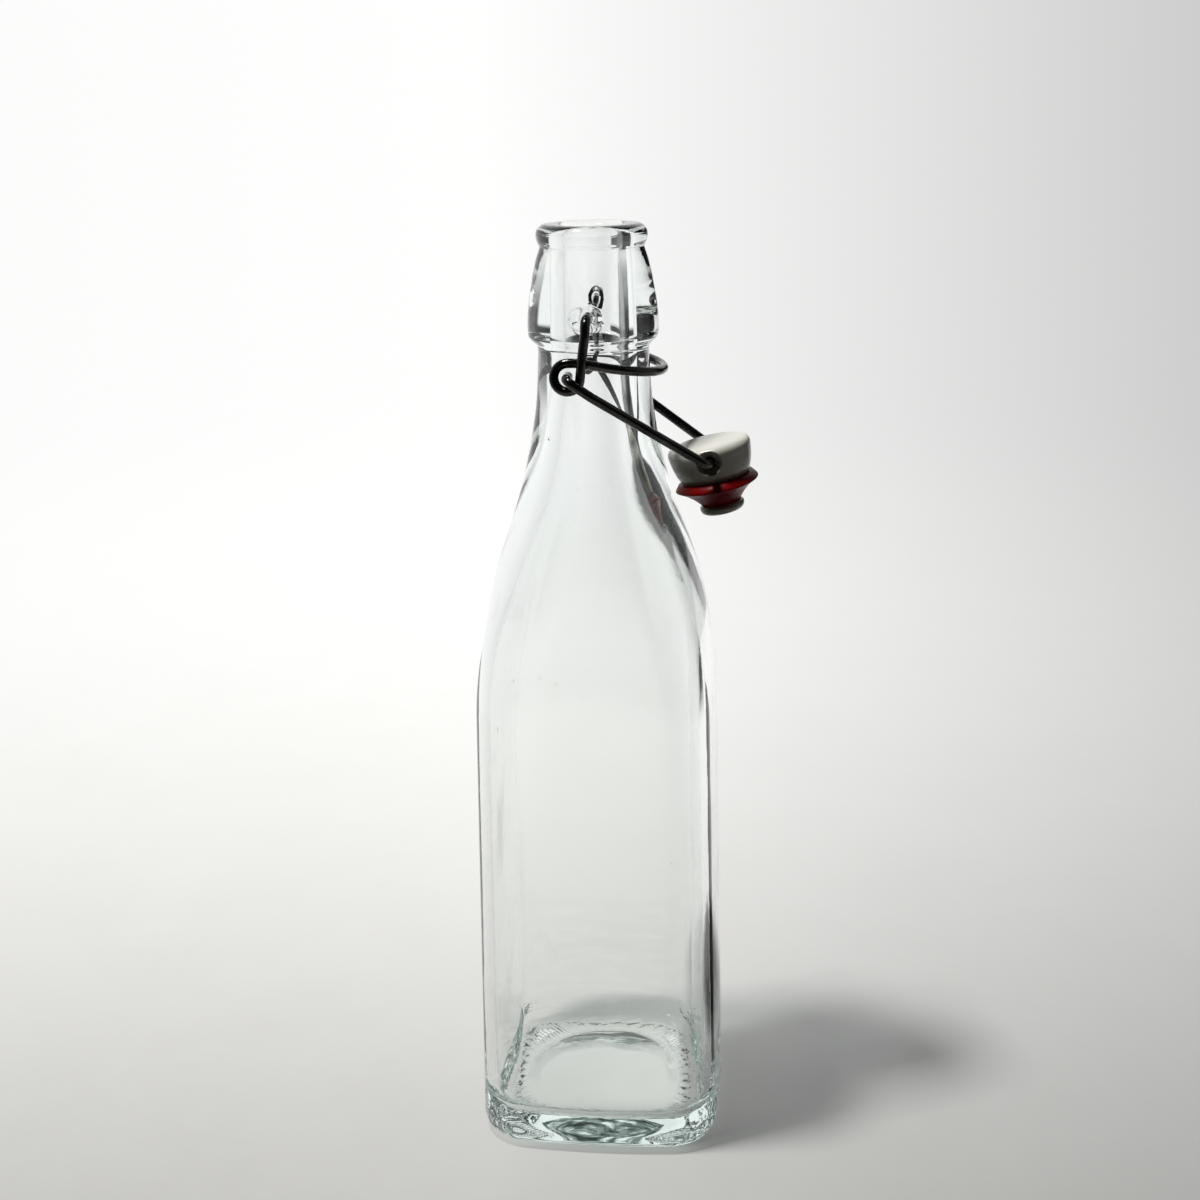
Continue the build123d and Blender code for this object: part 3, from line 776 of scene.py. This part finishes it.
def stopper_material():
    m, nt, out = material("white_stopper")
    coord = node(nt, "ShaderNodeTexCoord")
    big = node(nt, "ShaderNodeTexNoise", Scale=85.0, Detail=4.0, Roughness=0.6)
    link(nt, coord.outputs["Object"], big.inputs["Vector"])
    colour = ramp(nt, [(0.30, (0.80, 0.775, 0.69)), (0.5, (0.85, 0.83, 0.75)), (0.72, (0.885, 0.87, 0.80))],
                  big.outputs["Fac"])
    specks = node(nt, "ShaderNodeTexVoronoi", Scale=520.0)
    link(nt, coord.outputs["Object"], specks.inputs["Vector"])
    dots = ramp(nt, [(0.0, 1.0), (0.07, 0.8), (0.12, 0.0)], specks.outputs["Distance"])
    some = node(nt, "ShaderNodeTexNoise", Scale=230.0, Detail=1.0)
    link(nt, coord.outputs["Object"], some.inputs["Vector"])
    pick = ramp(nt, [(0.0, 0.0), (0.60, 0.0), (0.66, 0.6)], some.outputs["Fac"])
    mul = node(nt, "ShaderNodeMath", operation="MULTIPLY")
    link(nt, dots.outputs["Color"], mul.inputs[0])
    link(nt, pick.outputs["Color"], mul.inputs[1])
    mixc = node(nt, "ShaderNodeMixRGB")
    link(nt, mul.outputs[0], mixc.inputs["Fac"])
    link(nt, colour.outputs["Color"], mixc.inputs[1])
    mixc.inputs[2].default_value = (0.42, 0.37, 0.30, 1)
    # painted shade: the crown's colour is multiplied darker from its top down towards the skirt, as though less light
    # falls on its lower part
    where = vmath(nt, "SUBTRACT", coord.outputs["Object"], (STOP[0] * MM, 0.0, STOP[1] * MM))
    along = vmath(nt, "DOT_PRODUCT", where, tuple(float(c) for c in UP), 1)
    painted_skirt_shade = node(nt, "ShaderNodeMixRGB", blend_type="MULTIPLY")
    painted_skirt_shade.inputs["Fac"].default_value = 1.0
    link(nt, mixc.outputs[0], painted_skirt_shade.inputs[1])
    skirt_shade_fade = soft_step(nt, along, -0.0050, 0.0034, 0.0, 1.0)
    link(nt, ramp(nt, [(0.0, (0.32, 0.285, 0.215)), (0.55, (0.66, 0.63, 0.55)), (1.0, (1.0, 1.0, 0.99))], skirt_shade_fade).outputs["Color"], painted_skirt_shade.inputs[2])
    fine = node(nt, "ShaderNodeTexNoise", Scale=900.0, Detail=3.0)
    link(nt, coord.outputs["Object"], fine.inputs["Vector"])
    b = node(nt, "ShaderNodeBump", Strength=0.10, Distance=0.00012)
    link(nt, fine.outputs["Fac"], b.inputs["Height"])
    rough = ramp(nt, [(0.3, 0.26), (0.7, 0.31)], big.outputs["Fac"])
    p = node(nt, "ShaderNodeBsdfPrincipled")
    link(nt, painted_skirt_shade.outputs[0], p.inputs["Base Color"])
    link(nt, rough.outputs["Color"], p.inputs["Roughness"])
    link(nt, b.outputs["Normal"], p.inputs["Normal"])
    p.inputs["Subsurface Weight"].default_value = 0.06
    p.inputs["Subsurface Radius"].default_value = (1.0, 0.8, 0.55)
    p.inputs["Subsurface Scale"].default_value = 0.0015
    p.inputs["IOR"].default_value = 1.5
    link(nt, p.outputs[0], out.inputs["Surface"])
    return m


def rubber_material():
    m, nt, out = material("red_rubber")
    coord = node(nt, "ShaderNodeTexCoord")
    big = node(nt, "ShaderNodeTexNoise", Scale=120.0, Detail=4.0, Roughness=0.6)
    link(nt, coord.outputs["Object"], big.inputs["Vector"])
    colour = ramp(nt, [(0.3, (0.15, 0.0008, 0.0012)), (0.5, (0.22, 0.001, 0.0015)), (0.75, (0.30, 0.002, 0.003))],
                  big.outputs["Fac"])
    fine = node(nt, "ShaderNodeTexNoise", Scale=700.0, Detail=4.0)
    link(nt, coord.outputs["Object"], fine.inputs["Vector"])
    b = node(nt, "ShaderNodeBump", Strength=0.2, Distance=0.00015)
    link(nt, fine.outputs["Fac"], b.inputs["Height"])
    rough = ramp(nt, [(0.3, 0.30), (0.7, 0.42)], big.outputs["Fac"])
    p = node(nt, "ShaderNodeBsdfPrincipled")
    link(nt, colour.outputs["Color"], p.inputs["Base Color"])
    link(nt, rough.outputs["Color"], p.inputs["Roughness"])
    link(nt, b.outputs["Normal"], p.inputs["Normal"])
    p.inputs["Specular IOR Level"].default_value = 0.08
    p.inputs["Subsurface Weight"].default_value = 0.25
    p.inputs["Subsurface Radius"].default_value = (1.0, 0.12, 0.08)
    p.inputs["Subsurface Scale"].default_value = 0.003
    link(nt, p.outputs[0], out.inputs["Surface"])
    return m


# --------------------------------------------------------------------- pieces
glass = glass_material()
wire = wire_material()
white = stopper_material()
red = rubber_material()

bottle = make_bottle()
bottle.data.materials.append(glass)
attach(bottle, "bottle")
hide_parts("bottle")

lever = tube("lever", lever_path(), seed=4)
lever.data.materials.append(wire)
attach(lever, "lever")
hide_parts("lever_wire")

bail = tube("bail", bail_path(), seed=9)
bail.data.materials.append(wire)
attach(bail, "bail")
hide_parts("bail_wire")

crown = make_stopper()
crown.data.materials.append(white)
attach(crown, "stopper")
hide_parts("stopper")

rubber = make_gasket()
rubber.data.materials.append(red)
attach(rubber, "stopper")
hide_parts("gasket")


# ---------------------------------------------------------------------- stage
def stage_sweep():
    """A pale floor that curves up all round into the backdrop."""
    drop = -0.00025             # a hair under the foot, so that glass and paper don't coincide
    prof = [(r, drop) for r in np.linspace(0.02, 0.55, 12)]
    for t in np.linspace(0, math.pi / 2, 24)[1:]:
        prof.append((0.55 + 1.3 * math.sin(t), 1.3 * (1 - math.cos(t))))
    prof += [(1.85, 1.8), (1.85, 2.4), (1.85, 3.0)]
    n = 96
    a = np.linspace(0, 2 * math.pi, n, endpoint=False)
    rings = [np.column_stack([r * np.cos(a), r * np.sin(a), np.full(n, z)]) for r, z in prof]
    verts, faces = skin(rings, closed_ends=False)
    verts = np.concatenate([verts, [[0, 0, drop]]])
    faces += [(len(verts) - 1, j, (j + 1) % n) for j in range(n)]
    obj = new_object("stage_sweep", verts, faces)
    bm = bmesh.new()
    bm.from_mesh(obj.data)
    bmesh.ops.recalc_face_normals(bm, faces=bm.faces)
    for f in bm.faces:
        if f.calc_center_median().length < 0.3:
            if f.normal.z < 0:
                bmesh.ops.reverse_faces(bm, faces=bm.faces)
            break
    bm.to_mesh(obj.data)
    bm.free()
    return obj


KEY = (-0.27, -0.12, 1.08)  # where the key light hangs
STAND = (0.0517, -0.4772, 0.28005)
ACROSS = (0.99418, 0.10774, 0.0)
LIT, FILL = 0.60, 0.02       # floor brightness from the lights, and how much of the backdrop lights the set


def curve(nt, value, low, high, points):
    """A value looked up along straight lines between (input, output) points."""
    n = node(nt, "ShaderNodeMapRange")
    n.inputs["From Min"].default_value, n.inputs["From Max"].default_value = low, high
    link(nt, value, n.inputs["Value"])
    r = ramp(nt, [((x - low) / (high - low), y) for x, y in points], n.outputs["Result"])
    return r.outputs["Color"]


def backdrop_material():
    m, nt, out = material("stage_paper")
    geo = node(nt, "ShaderNodeNewGeometry")
    pos = geo.outputs["Position"]
    away = vmath(nt, "NORMALIZE", vmath(nt, "SUBTRACT", pos, STAND))
    side = vmath(nt, "DOT_PRODUCT", away, ACROSS, 1)
    rise = vmath(nt, "DOT_PRODUCT", away, (0.0, 0.0, 1.0), 1)
    # brightness up the sweep, and across it: white on the left, soft grey on the right
    up = curve(nt, rise, -1.0, 0.2, [
        (-1.0, 0.56), (-0.545, 0.615), (-0.506, 0.68), (-0.469, 0.75), (-0.427, 0.83), (-0.381, 0.905),
        (-0.332, 0.955), (-0.282, 0.985), (-0.23, 1.0), (0.2, 1.0),
    ])
    across = curve(nt, side, -1.0, 1.0, [
        (-1.0, 0.90), (-0.25, 0.98), (-0.06, 1.0), (0.094, 0.85), (0.225, 0.715), (0.318, 0.62), (0.6, 0.57), (1.0, 0.65),
    ])
    through = curve(nt, side, -1.0, 1.0, [
        (-1.0, 0.90), (-0.25, 0.98), (-0.06, 1.0), (0.094, 0.86), (0.16, 0.88), (0.27, 1.0), (1.0, 1.0),
    ])
    target = maths(nt, "MULTIPLY", up, across)
    # the part of it that the lights give: paper near the object, none far off
    far = vmath(nt, "LENGTH", pos, None, 1)
    near = node(nt, "ShaderNodeMapRange", interpolation_type="SMOOTHSTEP")
    for k, v in (("From Min", 0.28), ("From Max", 0.90), ("To Min", 1.0), ("To Max", 0.0)):
        near.inputs[k].default_value = v
    link(nt, far, near.inputs["Value"])
    near = near.outputs["Result"]
    # fall-off of the key light over the floor
    d2 = vmath(nt, "SUBTRACT", pos, (KEY[0], KEY[1], 0.0))
    d2 = vmath(nt, "DOT_PRODUCT", d2, d2, 1)
    spread = maths(nt, "DIVIDE", KEY[2] ** 2, maths(nt, "ADD", d2, KEY[2] ** 2))
    spread = maths(nt, "MULTIPLY", spread, spread)
    lit = maths(nt, "MULTIPLY", maths(nt, "MULTIPLY", spread, near), LIT)
    lit = maths(nt, "MULTIPLY", lit, across)
    rest = maths(nt, "MAXIMUM", maths(nt, "SUBTRACT", target, lit), 0.0)
    rest_seen = maths(nt, "MAXIMUM", maths(nt, "SUBTRACT", maths(nt, "MULTIPLY", up, through), lit), 0.0)
    # what lights the set and shows in the glass: a bright field behind the object as the camera sees it,
    # dark surroundings at the camera's right hand and behind it
    turn = node(nt, "ShaderNodeVectorTransform", vector_type="VECTOR", convert_from="WORLD", convert_to="CAMERA")
    link(nt, pos, turn.inputs[0])
    sep = node(nt, "ShaderNodeSeparateXYZ")
    link(nt, turn.outputs[0], sep.inputs[0])
    angle = maths(nt, "ARCTAN2", sep.outputs["X"], maths(nt, "ABSOLUTE", sep.outputs["Z"]))
    front = maths(nt, "GREATER_THAN", maths(nt, "MULTIPLY", sep.outputs["Z"], FORWARD), 0.0)
    low_field = curve(nt, angle, -1.6, 1.6, [
        (-1.6, 0.5), (-1.3, 0.9), (-0.5, 1.0), (0.76, 1.0), (0.83, 0.06), (1.1, 0.02), (1.25, 0.4), (1.6, 0.5),
    ])
    high_field = curve(nt, angle, -1.6, 1.6, [
        (-1.6, 0.5), (-1.3, 0.9), (-0.5, 1.0), (0.297, 1.0), (0.345, 0.06), (0.80, 0.02), (1.1, 0.02), (1.25, 0.2), (1.6, 0.4),
    ])
    level = vmath(nt, "DOT_PRODUCT", vmath(nt, "NORMALIZE", vmath(nt, "SUBTRACT", pos, (0.0, 0.0, 0.12))),
                  (0.0, 0.0, 1.0), 1)
    lift = maths(nt, "MULTIPLY", soft_step(nt, level, -0.035, 0.010, 0.0, 1.0), soft_step(nt, level, 0.20, 0.30, 1.0, 0.0))
    ahead_mix = node(nt, "ShaderNodeMix", data_type="FLOAT")
    link(nt, lift, ahead_mix.inputs[0])
    link(nt, low_field, ahead_mix.inputs[2])
    link(nt, high_field, ahead_mix.inputs[3])
    ahead = ahead_mix.outputs[0]
    behind = curve(nt, angle, -1.6, 1.6, [
        (-1.6, 0.5), (-1.2, 0.25), (-0.8, 0.05), (0.6, 0.03), (1.0, 0.12), (1.3, 0.4), (1.6, 0.4),
    ])
    mixk = node(nt, "ShaderNodeMix", data_type="FLOAT")
    link(nt, front, mixk.inputs[0])
    link(nt, behind, mixk.inputs[2])
    link(nt, ahead, mixk.inputs[3])
    field = mixk.outputs[0]
    # a dark ceiling
    low = curve(nt, vmath(nt, "DOT_PRODUCT", vmath(nt, "NORMALIZE", pos), (0.0, 0.0, 1.0), 1), 0.0, 1.0, [
        (0.0, 1.0), (0.78, 1.0), (0.88, 0.40), (0.95, 0.05), (1.0, 0.02),
    ])
    field = maths(nt, "MULTIPLY", field, low)
    # near the object the floor itself keeps its brightness for every ray
    field = maths(nt, "MAXIMUM", field, near)
    path = node(nt, "ShaderNodeLightPath")
    camera_ray = path.outputs["Is Camera Ray"]
    # what the thick foot gathers from the shadow beside it
    beside = vmath(nt, "LENGTH", vmath(nt, "SUBTRACT", pos, (0.084, 0.060, 0.0)), None, 1)
    dusk = soft_step(nt, beside, 0.030, 0.055, 0.12, 1.0)
    seen = maths(nt, "MULTIPLY", maths(nt, "MULTIPLY", rest_seen, field), dusk)
    seen = maths(nt, "MULTIPLY", seen, maths(nt, "SUBTRACT", 1.0, camera_ray))
    # light caught under the foot
    under = soft_step(nt, vmath(nt, "LENGTH", pos, None, 1), 0.018, 0.036, 0.13, 0.0)
    seen = maths(nt, "ADD", seen, maths(nt, "MULTIPLY", under, maths(nt, "SUBTRACT", 1.0, camera_ray)))
    shown = maths(nt, "ADD", maths(nt, "MULTIPLY", rest, camera_ray), seen)
    dim = node(nt, "ShaderNodeMapRange")
    dim.inputs["To Min"].default_value, dim.inputs["To Max"].default_value = 1.0, FILL
    link(nt, path.outputs["Is Diffuse Ray"], dim.inputs["Value"])
    strength = maths(nt, "MULTIPLY", shown, dim.outputs["Result"])
    glow = node(nt, "ShaderNodeEmission")
    link(nt, strength, glow.inputs["Strength"])
    glow.inputs["Color"].default_value = (1.0, 1.0, 0.995, 1)
    paper = node(nt, "ShaderNodeBsdfDiffuse", Roughness=0.4)
    grain = node(nt, "ShaderNodeTexNoise", Scale=26.0, Detail=6.0, Roughness=0.65)
    link(nt, pos, grain.inputs["Vector"])
    tone = ramp(nt, [(0.25, (0.795, 0.79, 0.765)), (0.75, (0.835, 0.832, 0.81))], grain.outputs["Fac"])
    scaled = node(nt, "ShaderNodeVectorMath", operation="SCALE")
    link(nt, tone.outputs["Color"], scaled.inputs[0])
    # the floor gives the object little light from below, and the glass sees its dusk
    bounce = maths(nt, "SUBTRACT", 1.0, maths(nt, "MULTIPLY", path.outputs["Is Diffuse Ray"], 0.96))
    tone_down = maths(nt, "MAXIMUM", dusk, maths(nt, "MAXIMUM", camera_ray, path.outputs["Is Diffuse Ray"]))
    amount = maths(nt, "MULTIPLY", maths(nt, "MULTIPLY", near, across), maths(nt, "MULTIPLY", bounce, tone_down))
    link(nt, amount, scaled.inputs["Scale"])
    link(nt, scaled.outputs[0], paper.inputs["Color"])
    both = node(nt, "ShaderNodeAddShader")
    link(nt, paper.outputs[0], both.inputs[0])
    link(nt, glow.outputs[0], both.inputs[1])
    link(nt, both.outputs[0], out.inputs["Surface"])
    return m


FORWARD = 1.0                # sign of the view direction in camera space
sweep = stage_sweep()
sweep.data.materials.append(backdrop_material())


def area(name, where, aim, size, power, colour=(1, 1, 1), size_y=None):
    light = bpy.data.lights.new(name, "AREA")
    light.shape = "RECTANGLE"
    light.size, light.size_y = size, size_y or size
    light.energy = power
    light.color = colour
    obj = bpy.data.objects.new(name, light)
    bpy.context.scene.collection.objects.link(obj)
    obj.location = where
    obj.rotation_mode = "QUATERNION"
    obj.rotation_quaternion = (Vector(aim) - Vector(where)).to_track_quat("-Z", "Y")
    return obj


area("key", KEY, (0, 0, 0.05), 0.13, 7.6, (1.0, 0.998, 0.985))

world = bpy.data.worlds.new("studio")
bpy.context.scene.world = world
world.use_nodes = True
wn = world.node_tree
wn.nodes["Background"].inputs["Color"].default_value = (1.0, 1.0, 1.0, 1)
wn.nodes["Background"].inputs["Strength"].default_value = 0.03

# --------------------------------------------------------------------- camera
YAW, PITCH, ROLL = math.radians(6.185), math.radians(4.47), math.radians(1.039)
cam_data = bpy.data.cameras.new("camera")
cam = bpy.data.objects.new("camera", cam_data)
bpy.context.scene.collection.objects.link(cam)
cam_data.sensor_width = 36.0
cam_data.lens = 36.0 * 1778.2 / 1200.0
cam_data.clip_start, cam_data.clip_end = 0.02, 20.0
D, HC = 0.480, 0.28005
right = Vector((math.cos(YAW), math.sin(YAW), 0))
level = Vector((-math.sin(YAW), math.cos(YAW), 0))
fwd = level * math.cos(PITCH) + Vector((0, 0, -1)) * math.sin(PITCH)
upv = level * math.sin(PITCH) + Vector((0, 0, 1)) * math.cos(PITCH)
cx_ = right * math.cos(ROLL) - upv * math.sin(ROLL)
cy_ = right * math.sin(ROLL) + upv * math.cos(ROLL)
rot = Matrix((cx_, cy_, -fwd)).transposed()
cam.rotation_mode = "QUATERNION"
cam.rotation_quaternion = rot.to_quaternion()
cam.location = Vector((D * math.sin(YAW), -D * math.cos(YAW), HC))
# The lens is shifted (falling front) at this standpoint, and only here: the shift follows the camera's
# distance from a marker, and is zero for a camera that stands anywhere else.
standpoint = bpy.data.objects.new("standpoint", None)
bpy.context.scene.collection.objects.link(standpoint)
standpoint.location = cam.location
standpoint.empty_display_size = 0.01
for path, value in (("shift_x", (600 - 591.39) / 1200), ("shift_y", (225.47 - 600) / 1200)):
    curve = cam_data.driver_add(path)
    curve.driver.type = "SUM"
    var = curve.driver.variables.new()
    var.type = "LOC_DIFF"
    var.targets[0].id = cam
    var.targets[1].id = standpoint
    for mod in list(curve.modifiers):
        curve.modifiers.remove(mod)
    curve.extrapolation = "CONSTANT"
    for away, v in ((0.0, value), (0.02, value), (0.04, 0.0), (0.06, 0.0)):
        p = curve.keyframe_points.insert(away, v)
        p.interpolation = "LINEAR"
bpy.context.scene.camera = cam
bpy.context.scene.view_settings.view_transform = "Standard"
